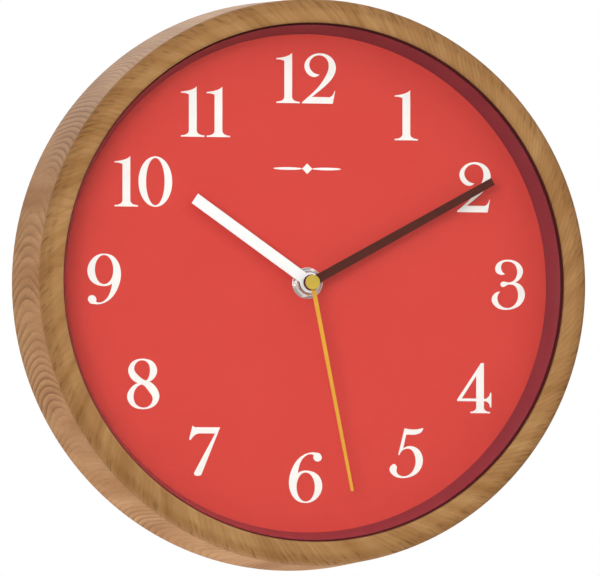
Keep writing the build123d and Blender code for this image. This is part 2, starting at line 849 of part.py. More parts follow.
with BuildPart() as second_hand:
    with BuildSketch(at_height(second_hand_back)):
        add(hand_outline(second_boss_radius, second_hand_root, second_hand_tip,
                         second_hand_length, second_hand_angle))
        Circle(second_arbor_radius, mode=Mode.SUBTRACT)
    extrude(amount=second_hand_thickness)
    with BuildSketch(at_height(second_hand_back - collet_length)):
        Circle(second_arbor_radius + second_collet_wall)
        Circle(second_arbor_radius, mode=Mode.SUBTRACT)
    extrude(amount=collet_length)
second_hand.part.label = "second_hand"

cap_back = second_hand_back + second_hand_thickness
second_arbor_front = cap_back + cap_grip

with BuildPart() as second_hand_cap:
    with BuildSketch(at_height(cap_back)):
        Circle(cap_radius)
    extrude(amount=cap_height - second_hand_thickness)
    fillet(second_hand_cap.edges().group_by(Axis.Y)[0], cap_round)
    with BuildSketch(at_height(cap_back)):
        Circle(second_arbor_radius)
    extrude(amount=second_arbor_front - cap_back, mode=Mode.SUBTRACT)
second_hand_cap.part.label = "second_hand_cap"

# ---------------------------------------------------------------- movement case
post_places = [(x, z) for x in post_columns for z in post_rows]
setting_axis = polar(motion_distance, setting_bearing, motion_axis)
floor_pivots = [centre_axis, intermediate_axis, rotor_axis, third_axis]
lead_slot = contact_thickness + lead_play

with BuildPart() as movement_base:
    with BuildSketch(at_height(case_back)):
        with Locations((0, (case_top - case_below) / 2)):
            RectangleRounded(case_width, case_top + case_below, case_round)
    extrude(amount=case_depth)
    with BuildSketch(at_height(case_floor)):
        with Locations((0, (room_top + room_bottom) / 2)):
            Rectangle(2 * room_half_width, room_top - room_bottom)
    extrude(amount=case_depth, mode=Mode.SUBTRACT)
    with BuildSketch(at_height(case_back)):
        with Locations((0, battery_z)):
            Rectangle(2 * room_half_width, bay_width)
    extrude(amount=case_depth - bay_floor, mode=Mode.SUBTRACT)
    # Slits in the wall between the bay and the wheels, for the two contact leads.
    with BuildSketch(at_height(battery_height - contact_width / 2)):
        for side in (-1, 1):
            with Locations((side * (room_half_width - lead_slot / 2), (bay_top + room_bottom) / 2)):
                Rectangle(lead_slot, 2 * case_wall)
    extrude(amount=contact_width, mode=Mode.SUBTRACT)
    with BuildSketch(at_height(case_floor)):
        with Locations(*post_places):
            Circle(post_radius)
    extrude(amount=plate_height)
    with BuildSketch(at_height(case_floor - pivot_depth)):
        with Locations(*floor_pivots):
            Circle(pivot_radius + running_clearance)
    extrude(amount=pivot_depth, mode=Mode.SUBTRACT)
    with BuildSketch(at_height(case_back)):
        with Locations(setting_axis):
            Circle(setting_arbor_radius + running_clearance)
    extrude(amount=case_wall, mode=Mode.SUBTRACT)
movement_base.part.label = "movement_base"

with BuildPart() as movement_cover:
    with BuildSketch(at_height(cover_back)):
        with Locations((0, (case_top - case_below) / 2)):
            RectangleRounded(case_width, case_top + case_below, case_round)
        Circle(neck_radius, mode=Mode.SUBTRACT)
    extrude(amount=cover_thickness)
movement_cover.part.label = "movement_cover"

with BuildPart() as middle_plate:
    left, right = post_columns[0] - plate_margin, post_columns[1] + plate_margin
    bottom, top = post_rows[0] - plate_margin, post_rows[1] + plate_margin
    with BuildSketch(at_height(plate_back)):
        with Locations(((left + right) / 2, (bottom + top) / 2)):
            RectangleRounded(right - left, top - bottom, plate_round)
        with Locations(intermediate_axis, rotor_axis, third_axis):
            Circle(pivot_radius + running_clearance, mode=Mode.SUBTRACT)
        with Locations(setting_axis):
            Circle(setting_arbor_radius + running_clearance, mode=Mode.SUBTRACT)
        Circle(minute_pipe_radius + running_clearance, mode=Mode.SUBTRACT)
    extrude(amount=plate_thickness)
    with BuildSketch(at_height(plate_front)):
        with Locations(motion_axis):
            Circle(motion_stud_radius)
    extrude(amount=hour_layer + wheel_thickness + stud_proud - plate_front)
middle_plate.part.label = "middle_plate"

# ---------------------------------------------------------------- wheel train
# Bearing of one tooth on each gear, so that every pair stands in mesh at rest.
second_phase = intermediate_bearing
intermediate_pinion_phase = meshed_phase(
    second_phase, second_teeth, intermediate_bearing, intermediate_pinion_teeth)
intermediate_phase = rotor_bearing
rotor_phase = meshed_phase(intermediate_phase, intermediate_teeth, rotor_bearing, rotor_teeth)
second_pinion_phase = third_bearing
third_phase = meshed_phase(second_pinion_phase, second_pinion_teeth, third_bearing, third_teeth)
centre_phase = third_bearing
third_pinion_phase = meshed_phase(centre_phase, centre_teeth, third_bearing, third_pinion_teeth)
minute_phase = motion_bearing
motion_phase = meshed_phase(minute_phase, minute_pinion_teeth, motion_bearing, motion_teeth)
hour_phase = motion_bearing
motion_pinion_phase = meshed_phase(hour_phase, hour_teeth, motion_bearing, motion_pinion_teeth)
setting_phase = meshed_phase(motion_phase, motion_teeth, setting_bearing, setting_pinion_teeth)

pivot_back = case_floor - pivot_depth + end_play
pivot_front = plate_front - end_play
shoulder_back = case_floor + end_play
shoulder_front = plate_back - end_play

with BuildPart() as second_wheel:
    with BuildSketch(at_height(second_layer)):
        add(wheel(second_teeth, intermediate_pinion_teeth, intermediate_distance, second_phase, 1.9))
    extrude(amount=wheel_thickness)
    with BuildSketch(at_height(second_layer)):
        add(gear(second_pinion_teeth, third_teeth, third_distance, second_pinion_phase, True))
    extrude(amount=third_layer + wheel_thickness + layer_gap - second_layer)
    with BuildSketch(at_height(shoulder_back)):
        Circle(second_arbor_radius)
    extrude(amount=second_arbor_front - shoulder_back)
    with BuildSketch(at_height(pivot_back)):
        Circle(pivot_radius)
    extrude(amount=shoulder_back - pivot_back)
second_wheel.part.label = "second_wheel"


def arbor(place):
    """A straight arbor with a thin pivot at each end."""
    with BuildPart() as rod:
        with BuildSketch(at_height(pivot_back)):
            with Locations(place):
                Circle(pivot_radius)
        extrude(amount=pivot_front - pivot_back)
        with BuildSketch(at_height(shoulder_back)):
            with Locations(place):
                Circle(arbor_radius)
        extrude(amount=shoulder_front - shoulder_back)
    return rod.part


intermediate_arbor = arbor(intermediate_axis)
third_arbor = arbor(third_axis)
rotor_arbor = arbor(rotor_axis)

with BuildPart() as intermediate_wheel:
    add(intermediate_arbor)
    with BuildSketch(at_height(intermediate_layer)):
        with Locations(intermediate_axis):
            add(wheel(intermediate_teeth, rotor_teeth, rotor_distance, intermediate_phase, 1.9))
    extrude(amount=wheel_thickness)
    with BuildSketch(at_height(intermediate_layer)):
        with Locations(intermediate_axis):
            add(gear(intermediate_pinion_teeth, second_teeth, intermediate_distance,
                     intermediate_pinion_phase, True))
    extrude(amount=second_layer + wheel_thickness + pinion_overhang - intermediate_layer)
intermediate_wheel.part.label = "intermediate_wheel"

with BuildPart() as third_wheel:
    add(third_arbor)
    with BuildSketch(at_height(third_layer)):
        with Locations(third_axis):
            add(wheel(third_teeth, second_pinion_teeth, third_distance, third_phase, 2.2))
    extrude(amount=wheel_thickness)
    with BuildSketch(at_height(third_layer)):
        with Locations(third_axis):
            add(gear(third_pinion_teeth, centre_teeth, third_distance, third_pinion_phase, True))
    extrude(amount=centre_layer + wheel_thickness + pinion_overhang - third_layer)
third_wheel.part.label = "third_wheel"

with BuildPart() as centre_wheel:
    with BuildSketch(at_height(centre_layer)):
        add(wheel(centre_teeth, third_pinion_teeth, third_distance, centre_phase, 2.9))
        Circle(clutch_seat_radius + running_clearance, mode=Mode.SUBTRACT)
    extrude(amount=wheel_thickness)
centre_wheel.part.label = "centre_wheel"

clutch_spring_back = centre_layer - clutch_spring_height
clutch_bush_back = clutch_spring_back - clutch_bush_height

with BuildPart() as clutch_spring:
    # A dished steel washer between the bush and the centre wheel.
    with BuildSketch(Plane.XY):
        with BuildLine():
            Polyline(
                (clutch_seat_radius, -clutch_spring_back),
                (clutch_seat_radius, -(clutch_spring_back + clutch_spring_thickness)),
                (clutch_spring_radius, -centre_layer),
                (clutch_spring_radius, -(centre_layer - clutch_spring_thickness)),
                close=True,
            )
        make_face()
    revolve(axis=Axis.Y)
clutch_spring.part.label = "clutch_spring"

with BuildPart() as clutch_bush:
    with BuildSketch(at_height(clutch_bush_back)):
        Circle(clutch_bush_radius)
        Circle(clutch_seat_radius, mode=Mode.SUBTRACT)
    extrude(amount=clutch_bush_height)
clutch_bush.part.label = "clutch_bush"

pinion_back = plate_front + pinion_lift
pinion_front = motion_layer + wheel_thickness + pinion_overhang

with BuildPart() as minute_pipe:
    seat_front = centre_layer + wheel_thickness
    minute_pipe_front = minute_hand_back + hand_thickness
    with BuildSketch(at_height(clutch_bush_back)):
        Circle(clutch_seat_radius)
    extrude(amount=seat_front - clutch_bush_back)
    with BuildSketch(at_height(seat_front)):
        Circle(minute_pipe_radius)
    extrude(amount=minute_pipe_front - seat_front)
    with BuildSketch(at_height(pinion_back)):
        add(gear(minute_pinion_teeth, motion_teeth, motion_distance, minute_phase, True))
    extrude(amount=pinion_front - pinion_back)
    with BuildSketch(at_height(clutch_bush_back)):
        Circle(minute_bore_radius)
    extrude(amount=minute_pipe_front - clutch_bush_back, mode=Mode.SUBTRACT)
minute_pipe.part.label = "minute_pipe"

with BuildPart() as motion_wheel:
    motion_front = hour_layer + wheel_thickness + pinion_overhang
    with BuildSketch(at_height(motion_layer)):
        with Locations(motion_axis):
            add(wheel(motion_teeth, minute_pinion_teeth, motion_distance, motion_phase, 2.1))
    extrude(amount=wheel_thickness)
    with BuildSketch(at_height(motion_layer)):
        with Locations(motion_axis):
            add(gear(motion_pinion_teeth, hour_teeth, motion_distance, motion_pinion_phase, True))
    extrude(amount=motion_front - motion_layer)
    with BuildSketch(at_height(motion_layer)):
        with Locations(motion_axis):
            Circle(motion_stud_radius + running_clearance)
    extrude(amount=motion_front - motion_layer, mode=Mode.SUBTRACT)
motion_wheel.part.label = "motion_wheel"

with BuildPart() as hour_wheel:
    hour_pipe_front = hour_hand_back + hand_thickness
    with BuildSketch(at_height(hour_layer)):
        add(wheel(hour_teeth, motion_pinion_teeth, motion_distance, hour_phase, 3.2, windows=6))
    extrude(amount=wheel_thickness)
    with BuildSketch(at_height(hour_layer)):
        Circle(hour_pipe_radius)
    extrude(amount=hour_pipe_front - hour_layer)
    with BuildSketch(at_height(hour_layer + wheel_thickness)):
        Circle(hour_pipe_radius + hour_collar_wall)
    extrude(amount=cover_back - neck_flange - end_play - hour_layer - wheel_thickness)
    with BuildSketch(at_height(hour_layer)):
        Circle(hour_bore_radius)
    extrude(amount=hour_pipe_front - hour_layer, mode=Mode.SUBTRACT)
hour_wheel.part.label = "hour_wheel"

knob_back = case_back - knob_gap - knob_height
arbor_back = knob_back + knob_face

with BuildPart() as setting_arbor:
    with BuildSketch(at_height(arbor_back)):
        with Locations(setting_axis):
            Circle(setting_arbor_radius)
    extrude(amount=pinion_front - arbor_back)
    with BuildSketch(at_height(pinion_back)):
        with Locations(setting_axis):
            add(gear(setting_pinion_teeth, motion_teeth, motion_distance, setting_phase, True))
    extrude(amount=pinion_front - pinion_back)
setting_arbor.part.label = "setting_arbor"

with BuildPart() as setting_knob:
    with BuildSketch(at_height(knob_back)):
        with Locations(setting_axis):
            Circle(knob_radius)
            with PolarLocations(knob_radius, knob_flutes):
                Circle(flute_radius, mode=Mode.SUBTRACT)
    extrude(amount=knob_height)
    with BuildSketch(at_height(arbor_back)):
        with Locations(setting_axis):
            Circle(setting_arbor_radius)
    extrude(amount=knob_height - knob_face, mode=Mode.SUBTRACT)
setting_knob.part.label = "setting_knob"

# ---------------------------------------------------------------- motor
magnet_back = stator_layer + stator_thickness / 2 - magnet_height / 2
rotor_pinion_back = case_floor + pinion_lift
rotor_pinion_front = intermediate_layer + wheel_thickness + pinion_overhang

with BuildPart() as rotor:
    add(rotor_arbor)
    with BuildSketch(at_height(rotor_pinion_back)):
        with Locations(rotor_axis):
            add(gear(rotor_teeth, intermediate_teeth, rotor_distance, rotor_phase, True))
    extrude(amount=rotor_pinion_front - rotor_pinion_back)
    with BuildSketch(at_height(magnet_back)):
        with Locations(rotor_axis):
            Circle(magnet_bore)
    extrude(amount=magnet_height)
rotor.part.label = "rotor"

with BuildPart() as rotor_magnet:
    with BuildSketch(at_height(magnet_back)):
        with Locations(rotor_axis):
            Circle(magnet_radius)
            Circle(magnet_bore, mode=Mode.SUBTRACT)
    extrude(amount=magnet_height)
rotor_magnet.part.label = "rotor_magnet"

with BuildPart() as stator:
    arm_height = coil_z + stator_bar / 2 - (rotor_axis[1] - stator_bar / 2)
    with BuildSketch(at_height(stator_layer)):
        with Locations(rotor_axis):
            Circle(stator_collar)
        with Locations((coil_x, rotor_axis[1])):
            Rectangle(stator_right - stator_left, stator_bar)
        for x in (stator_left + stator_bar / 2, stator_right - stator_bar / 2):
            with Locations((x, rotor_axis[1] - stator_bar / 2 + arm_height / 2)):
                Rectangle(stator_bar, arm_height)
        with Locations(rotor_axis):
            Circle(magnet_radius + stator_gap, mode=Mode.SUBTRACT)
    extrude(amount=stator_thickness)
stator.part.label = "stator"

core_back = stator_layer + stator_thickness
core_middle = core_back + core_thickness / 2

with BuildPart() as coil_core:
    with BuildSketch(at_height(core_back)):
        with Locations((coil_x, coil_z)):
            Rectangle(stator_right - stator_left, stator_bar)
    extrude(amount=core_thickness)
coil_core.part.label = "coil_core"

with BuildPart() as coil_bobbin:
    coil_plane = Plane(origin=(coil_x - bobbin_length / 2, -core_middle, coil_z),
                       x_dir=(0, 0, 1), z_dir=(1, 0, 0))
    with BuildSketch(coil_plane):
        Circle(bobbin_core_radius)
    extrude(amount=bobbin_length)
    with BuildSketch(coil_plane):
        Circle(bobbin_radius)
    extrude(amount=bobbin_cheek)
    with BuildSketch(coil_plane.offset(bobbin_length - bobbin_cheek)):
        Circle(bobbin_radius)
    extrude(amount=bobbin_cheek)
    with BuildSketch(coil_plane):
        Rectangle(stator_bar, core_thickness)
    extrude(amount=bobbin_length, mode=Mode.SUBTRACT)
coil_bobbin.part.label = "coil_bobbin"

with BuildPart() as coil_winding:
    with BuildSketch(coil_plane.offset(bobbin_cheek)):
        Circle(winding_radius)
        Circle(bobbin_core_radius, mode=Mode.SUBTRACT)
    extrude(amount=bobbin_length - 2 * bobbin_cheek)
coil_winding.part.label = "coil_winding"

# ---------------------------------------------------------------- circuit, contacts and battery
strip_z = room_bottom + board_strip_thickness
strip_back = battery_height - board_strip_width / 2
strip_half_length = room_half_width - contact_thickness

with BuildPart() as circuit_board:
    with BuildSketch(at_height(strip_back)):
        with Locations((0, strip_z - board_strip_thickness / 2)):
            Rectangle(2 * strip_half_length, board_strip_thickness)
    extrude(amount=board_strip_width)
circuit_board.part.label = "circuit_board"

with BuildPart() as chip:
    with BuildSketch(Plane.XY.offset(strip_z)):
        with Locations((chip_centre, -battery_height)):
            Rectangle(chip_length, chip_width)
    extrude(amount=chip_height, taper=chip_taper)
chip.part.label = "chip"

with BuildPart() as quartz_crystal:
    with BuildSketch(Plane.YZ.offset(crystal_start)):
        with Locations((-crystal_height, strip_z + crystal_radius)):
            Circle(crystal_radius)
    extrude(amount=crystal_length)
    fillet(quartz_crystal.edges().sort_by(Axis.X)[-1], crystal_round)
quartz_crystal.part.label = "quartz_crystal"

with BuildPart() as battery:
    can_length = battery_length - battery_button
    battery_plane = Plane(origin=(-battery_length / 2, -battery_height, battery_z),
                          x_dir=(0, 0, 1), z_dir=(1, 0, 0))
    with BuildSketch(battery_plane):
        Circle(battery_diameter / 2)
    extrude(amount=can_length)
    fillet(battery.edges().filter_by(GeomType.CIRCLE), battery_round)
    with BuildSketch(battery_plane.offset(can_length)):
        Circle(battery_button_radius)
    extrude(amount=battery_button)
    fillet(battery.edges().sort_by(Axis.X)[-1], button_round)
battery.part.label = "battery"

lead_top = room_bottom + board_strip_thickness + lead_rise
contact_bottom = battery_z - contact_width / 2

with BuildPart() as contact_positive:
    with BuildSketch(at_height(battery_height - contact_width / 2)):
        with Locations((room_half_width - contact_thickness / 2, (contact_bottom + lead_top) / 2)):
            Rectangle(contact_thickness, lead_top - contact_bottom)
    extrude(amount=contact_width)
    # Raised pad that the battery's button touches.
    pad = room_half_width - contact_thickness - battery_length / 2
    with BuildSketch(Plane.YZ.offset(battery_length / 2)):
        with Locations((-battery_height, battery_z)):
            Circle(battery_button_radius)
    extrude(amount=pad)
contact_positive.part.label = "contact_positive"

with BuildPart() as contact_negative:
    with BuildSketch(at_height(battery_height - contact_width / 2)):
        with Locations((-room_half_width + contact_thickness / 2, (contact_bottom + lead_top) / 2)):
            Rectangle(contact_thickness, lead_top - contact_bottom)
        # Leaf that stands off the plate and presses on the battery's flat end.
        with BuildLine():
            Polyline(
                (-room_half_width, contact_bottom),
                (-room_half_width + contact_thickness, contact_bottom),
                (-battery_length / 2, battery_z),
                (-battery_length / 2 - contact_thickness, battery_z),
                close=True,
            )
        make_face()
    extrude(amount=contact_width)
contact_negative.part.label = "contact_negative"

# ---------------------------------------------------------------- files
pieces = [
    frame_ring, lens, spacer_ring, dial_sheet, dial_numerals, dial_board, retaining_points,
    hanger_plate, rubber_washer, threaded_bushing, dial_washer, mounting_nut,
    hour_hand, minute_hand, second_hand, second_hand_cap,
    movement_base, movement_cover, middle_plate,
    second_wheel, intermediate_wheel, third_wheel, centre_wheel, clutch_spring, clutch_bush,
    minute_pipe, motion_wheel, hour_wheel, setting_arbor, setting_knob,
    rotor, rotor_magnet, stator, coil_core, coil_bobbin, coil_winding,
    circuit_board, chip, quartz_crystal, battery, contact_positive, contact_negative,
]
os.makedirs("parts", exist_ok=True)
for piece in pieces:
    export_step(piece.part, f"parts/{piece.part.label}.step")
    print(piece.part.label, round(piece.part.volume, 2))
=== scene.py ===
"""Wall clock: looks, detail pieces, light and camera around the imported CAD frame.  Metres."""

from math import cos, pi, radians, sin, tau

import bmesh
import bpy
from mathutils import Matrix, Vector


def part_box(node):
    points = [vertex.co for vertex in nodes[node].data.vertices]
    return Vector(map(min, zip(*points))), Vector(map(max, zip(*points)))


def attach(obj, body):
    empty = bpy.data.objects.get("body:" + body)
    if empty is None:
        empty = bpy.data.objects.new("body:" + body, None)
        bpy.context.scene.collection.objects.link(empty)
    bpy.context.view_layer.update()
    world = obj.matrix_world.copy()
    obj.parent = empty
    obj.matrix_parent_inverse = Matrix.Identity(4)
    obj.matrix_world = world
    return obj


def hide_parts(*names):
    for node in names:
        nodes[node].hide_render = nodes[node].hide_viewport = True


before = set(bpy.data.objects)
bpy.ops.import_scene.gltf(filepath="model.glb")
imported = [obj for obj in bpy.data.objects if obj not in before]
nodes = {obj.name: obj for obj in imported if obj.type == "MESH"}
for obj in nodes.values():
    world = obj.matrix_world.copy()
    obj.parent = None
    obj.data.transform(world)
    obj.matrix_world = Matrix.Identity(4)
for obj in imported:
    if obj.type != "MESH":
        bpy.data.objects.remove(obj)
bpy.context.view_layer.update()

MM = 0.001
scene = bpy.context.scene
scene.view_settings.view_transform = "Standard"

# ---------------------------------------------------------------- places taken from the frame
ring_low, ring_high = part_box("frame_ring")
lens_low, lens_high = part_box("lens")
base_low, base_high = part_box("movement_base")
knob_low, knob_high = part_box("setting_knob")
cell_low, cell_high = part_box("battery")

back_radius = ring_high.x
frame_depth = -ring_low.y
lens_front = -lens_low.y
lens_radius = lens_high.x
dial_front = -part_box("dial_sheet")[0].y

# Hoop section, as in the CAD solid
frame_draft = 1.4 * MM
face_width = 10.6 * MM
shoulder_round = 3.6 * MM
opening_round = 2.0 * MM
back_round = 0.8 * MM
lens_gap = 0.3 * MM
front_radius = back_radius - frame_draft
opening_radius = front_radius - face_width
bore_radius = lens_radius + lens_gap

# Where the hoop's surfaces start, measured along its section from the lens seat outward
round_start = frame_depth - opening_round - lens_front
face_start = round_start + opening_round * pi / 2
shoulder_start = face_start + face_width - opening_round - shoulder_round
wall_start = shoulder_start + shoulder_round * pi / 2
wall_end = wall_start + frame_depth - shoulder_round - back_round


# ---------------------------------------------------------------- camera
def add_camera():
    """A very long lens from the left and a little below, so the dial stays nearly a true circle."""
    azimuth, elevation = radians(-15.7), radians(-2.4)
    lens, sensor = 800.0, 36.0
    view_width = 262.0 * MM
    right_shift, up_shift = 3.0 * MM, 2.1 * MM      # the hands' axis sits right of and above the middle
    distance = view_width * lens / sensor
    back = Vector((sin(azimuth) * cos(elevation), -cos(azimuth) * cos(elevation), sin(elevation)))
    turn = (-back).to_track_quat("-Z", "Y")
    target = Vector((0, -dial_front, 0))
    target -= turn @ Vector((right_shift, up_shift, 0))
    data = bpy.data.cameras.new("camera")
    data.lens = lens
    data.sensor_width = sensor
    camera = bpy.data.objects.new("camera", data)
    camera.rotation_mode = "QUATERNION"
    camera.rotation_quaternion = turn
    camera.location = target + back * distance
    scene.collection.objects.link(camera)
    scene.camera = camera


add_camera()


# ---------------------------------------------------------------- node helpers
class Surface:
    """A Principled material and short calls for the nodes that shape it."""

    def __init__(self, name, **sockets):
        self.material = bpy.data.materials.new(name)
        self.material.use_nodes = True
        self.tree = self.material.node_tree
        self.shader = self.tree.nodes["Principled BSDF"]
        for socket, value in sockets.items():
            self.shader.inputs[socket.replace("_", " ")].default_value = value

    def node(self, kind, **settings):
        made = self.tree.nodes.new(kind)
        for name, value in settings.items():
            setattr(made, name, value)
        return made

    def link(self, source, target):
        self.tree.links.new(source, target)

    def place(self, stretch=(1, 1, 1)):
        """Position on the piece in metres, scaled by stretch."""
        coordinate = self.node("ShaderNodeTexCoord")
        return self.scaled(coordinate.outputs["Object"], stretch)

    def scaled(self, vector, stretch):
        mapping = self.node("ShaderNodeMapping")
        mapping.inputs["Scale"].default_value = stretch
        self.link(vector, mapping.inputs["Vector"])
        return mapping.outputs["Vector"]

    def attribute(self, name):
        return self.node("ShaderNodeAttribute", attribute_name=name).outputs["Vector"]

    def split(self, vector):
        parts = self.node("ShaderNodeSeparateXYZ")
        self.link(vector, parts.inputs[0])
        return parts.outputs

    def noise(self, vector, scale, detail=2.0, roughness=0.5):
        made = self.node("ShaderNodeTexNoise")
        made.inputs["Scale"].default_value = scale
        made.inputs["Detail"].default_value = detail
        made.inputs["Roughness"].default_value = roughness
        self.link(vector, made.inputs["Vector"])
        return made.outputs["Fac"]

    def math(self, operation, a, b=None):
        made = self.node("ShaderNodeMath", operation=operation)
        for value, socket in ((a, made.inputs[0]), (b, made.inputs[1])):
            if value is None:
                continue
            if isinstance(value, (int, float)):
                socket.default_value = value
            else:
                self.link(value, socket)
        return made.outputs[0]

    def ramp(self, value, *stops):
        """A curve through (position, level) stops."""
        made = self.node("ShaderNodeValToRGB")
        elements = made.color_ramp.elements
        while len(elements) < len(stops):
            elements.new(0.5)
        for element, (position, level) in zip(elements, stops):
            element.position = position
            shade = level if isinstance(level, tuple) else (level, level, level)
            element.color = (*shade, 1)
        self.link(value, made.inputs["Fac"])
        return made.outputs["Color"]

    def mix(self, amount, a, b, blend="MIX"):
        """Mix two colours; each is a colour or a socket."""
        made = self.node("ShaderNodeMix", data_type="RGBA", blend_type=blend)
        for value, socket in ((amount, made.inputs[0]), (a, made.inputs[6]), (b, made.inputs[7])):
            if isinstance(value, (int, float)):
                socket.default_value = value
            elif isinstance(value, tuple):
                socket.default_value = (*value, 1)
            else:
                self.link(value, socket)
        return made.outputs[2]

    def colour(self, socket):
        self.link(socket, self.shader.inputs["Base Color"])

    def roughness(self, value, low, high):
        made = self.node("ShaderNodeMapRange")
        made.inputs["To Min"].default_value = low
        made.inputs["To Max"].default_value = high
        self.link(value, made.inputs["Value"])
        self.link(made.outputs[0], self.shader.inputs["Roughness"])

    def bump(self, height, depth, strength=1.0):
        """Bump of this depth in metres; a second call adds on top of the first."""
        made = self.node("ShaderNodeBump")
        made.inputs["Strength"].default_value = strength
        made.inputs["Distance"].default_value = depth
        self.link(height, made.inputs["Height"])
        normal = self.shader.inputs["Normal"]
        if normal.is_linked:
            self.link(normal.links[0].from_socket, made.inputs["Normal"])
        self.link(made.outputs["Normal"], normal)


def srgb(red, green, blue):
    """Linear colour of an 8-bit display colour."""
    def linear(level):
        level /= 255
        return level / 12.92 if level <= 0.04045 else ((level + 0.055) / 1.055) ** 2.4
    return (linear(red), linear(green), linear(blue))


# ---------------------------------------------------------------- materials
def wood():
    """Warm wood: growth lines cross the band, and the rounded shoulder is darkened with painted shade,
    its pores darker there too.
    """
    s = Surface("turned_wood", Specular_IOR_Level=0.05, Coat_Weight=0.06, Coat_Roughness=0.25)
    grain = s.attribute("grain")
    x, z, reach = s.split(grain)

    # One growth line for each whole number of this field: even turns, then drift, waver and arches
    line_count, drift_lines, waver_lines, arch_rise = 240, 24, 3, 28000
    turn = s.math("MULTIPLY", s.math("ARCTAN2", z, x), line_count / tau)
    drift = s.math("MULTIPLY", s.noise(s.scaled(grain, (1, 1, 0.2)), 7, detail=0), drift_lines)
    waver = s.noise(s.scaled(grain, (1, 1, 0.6)), 34, detail=1, roughness=0.3)
    waver = s.math("MULTIPLY", waver, waver_lines)
    off_middle = s.math("SUBTRACT", reach, (wall_start + wall_end) / 2)
    arch = s.math("MULTIPLY", off_middle, off_middle)
    arch = s.math("MULTIPLY", arch, s.math("MULTIPLY", x, arch_rise))
    ring = s.math("FRACT", s.math("ADD", s.math("ADD", turn, drift), s.math("ADD", waver, arch)))
    line = s.ramp(ring, (0.0, 0.0), (0.35, 0.08), (0.75, 0.6), (0.88, 1.0), (1.0, 0.0))
    fade = s.ramp(s.noise(s.scaled(grain, (1, 1, 0.3)), 45, detail=1), (0.36, 0.15), (0.62, 1.0))
    line = s.math("MULTIPLY", line, fade)
    streak = s.ramp(s.noise(s.scaled(grain, (1, 1, 0.12)), 110, detail=2), (0.3, 0.0), (0.7, 1.0))
    broad = s.ramp(s.noise(s.scaled(grain, (1, 1, 0.2)), 22, detail=2), (0.3, 0.0), (0.7, 1.0))
    fibre = s.noise(s.scaled(grain, (1, 1, 0.05)), 1500, detail=3, roughness=0.6)
    pore = s.ramp(s.noise(s.scaled(grain, (1, 1, 0.3)), 700, detail=2), (0.52, 0.0), (0.68, 1.0))

    # Masks along the section: the side wall, the shoulder's painted shade and the painted shadow at the
    # lens seat
    share = s.math("DIVIDE", reach, wall_end)
    shoulder_middle = (shoulder_start + wall_start) / 2
    side = s.ramp(share, (shoulder_middle / wall_end, 0.0), ((wall_start + 1.5 * MM) / wall_end, 1.0))
    # Painted shade on the rounded shoulder, where the surface turns away from the light
    shoulder = s.ramp(share, (0.75 * shoulder_start / wall_end, 0.0), (shoulder_start / wall_end, 0.6),
                      (0.9 * wall_start / wall_end, 1.0), ((wall_start + 1.2 * MM) / wall_end, 0.0))
    # Painted shadow: a dark band on the lip where it meets the lens
    seat_shadow = s.ramp(share, (0.9 * MM / wall_end, 1.0), (1.5 * MM / wall_end, 0.0))

    # Colours: face wood and side wood, the side painted paler and pinker as painted light, then paler
    # patches, growth lines, the shoulder's painted shade, pores and fibres
    face_tone = s.mix(streak, srgb(152, 106, 60), srgb(184, 140, 90))
    # Painted light: the side wall's wood is painted paler and pinker than the face
    paler_lit_side_tone = s.mix(streak, srgb(168, 120, 80), srgb(194, 148, 106))
    # The shoulder tone and the shoulder pore tone are painted shade
    patch_tone, line_tone, shoulder_shade_tone = srgb(194, 146, 94), srgb(104, 64, 42), srgb(128, 86, 44)
    shoulder_pore_shade_tone, pore_tone, seat_shadow_tone = srgb(88, 54, 24), srgb(96, 60, 32), srgb(78, 38, 24)
    line_share = s.math("ADD", 0.26, s.math("MULTIPLY", side, 0.5))
    # Painted light: the side wall takes the paler lit tone
    tone = s.mix(side, face_tone, paler_lit_side_tone)
    tone = s.mix(s.math("MULTIPLY", broad, 0.3), tone, patch_tone)
    tone = s.mix(s.math("MULTIPLY", line, line_share), tone, line_tone)
    # Painted shade on the shoulder, and its pores darkened with it
    tone = s.mix(s.math("MULTIPLY", shoulder, 0.45), tone, shoulder_shade_tone)
    tone = s.mix(s.math("MULTIPLY", s.math("MULTIPLY", pore, shoulder), 0.5), tone, shoulder_pore_shade_tone)
    tone = s.mix(s.math("MULTIPLY", pore, 0.12), tone, pore_tone)
    tone = s.mix(0.25, tone, s.ramp(fibre, (0.3, 0.62), (0.7, 1.0)), "MULTIPLY")
    # Painted shadow at the lens seat, laid over all the wood colours
    s.colour(s.mix(seat_shadow, tone, seat_shadow_tone))
    s.roughness(fibre, 0.4, 0.52)
    s.bump(fibre, 0.03 * MM, 0.35)
    s.bump(pore, -0.02 * MM, 0.4)
    return s.material


def glass():
    """Clear glass with a faint smear."""
    s = Surface("clear_glass", Base_Color=(0.985, 1.0, 0.995, 1), IOR=1.33, Transmission_Weight=1.0)
    smear = s.noise(s.place(), 35, detail=3)
    s.roughness(smear, 0.0, 0.012)
    return s.material


def dial_paper():
    """Matt printed paper: cloudy ink, paper fibres and fine print dots."""
    s = Surface("dial_paper", Specular_IOR_Level=0.2)
    here = s.place()
    fibre = s.noise(here, 2600, detail=4, roughness=0.65)
    cloud = s.noise(here, 28, detail=3)
    dots = s.noise(here, 9000, detail=1)
    base = s.mix(cloud, srgb(213, 62, 52), srgb(218, 68, 58))
    toned = s.mix(0.14, base, s.ramp(fibre, (0.3, 0.6), (0.7, 1.0)), "MULTIPLY")
    printed = s.mix(0.06, toned, s.ramp(dots, (0.35, 0.5), (0.65, 1.0)), "MULTIPLY")
    s.colour(printed)
    s.roughness(fibre, 0.55, 0.7)
    s.bump(fibre, 0.02 * MM, 0.35)
    return s.material


def numeral_ink():
    """White ink over the same paper fibres."""
    s = Surface("numeral_ink", Specular_IOR_Level=0.3)
    fibre = s.noise(s.place(), 2600, detail=4, roughness=0.65)
    s.colour(s.mix(fibre, srgb(243, 238, 232), srgb(250, 247, 243)))
    s.roughness(fibre, 0.5, 0.65)
    s.bump(fibre, 0.015 * MM, 0.3)
    return s.material


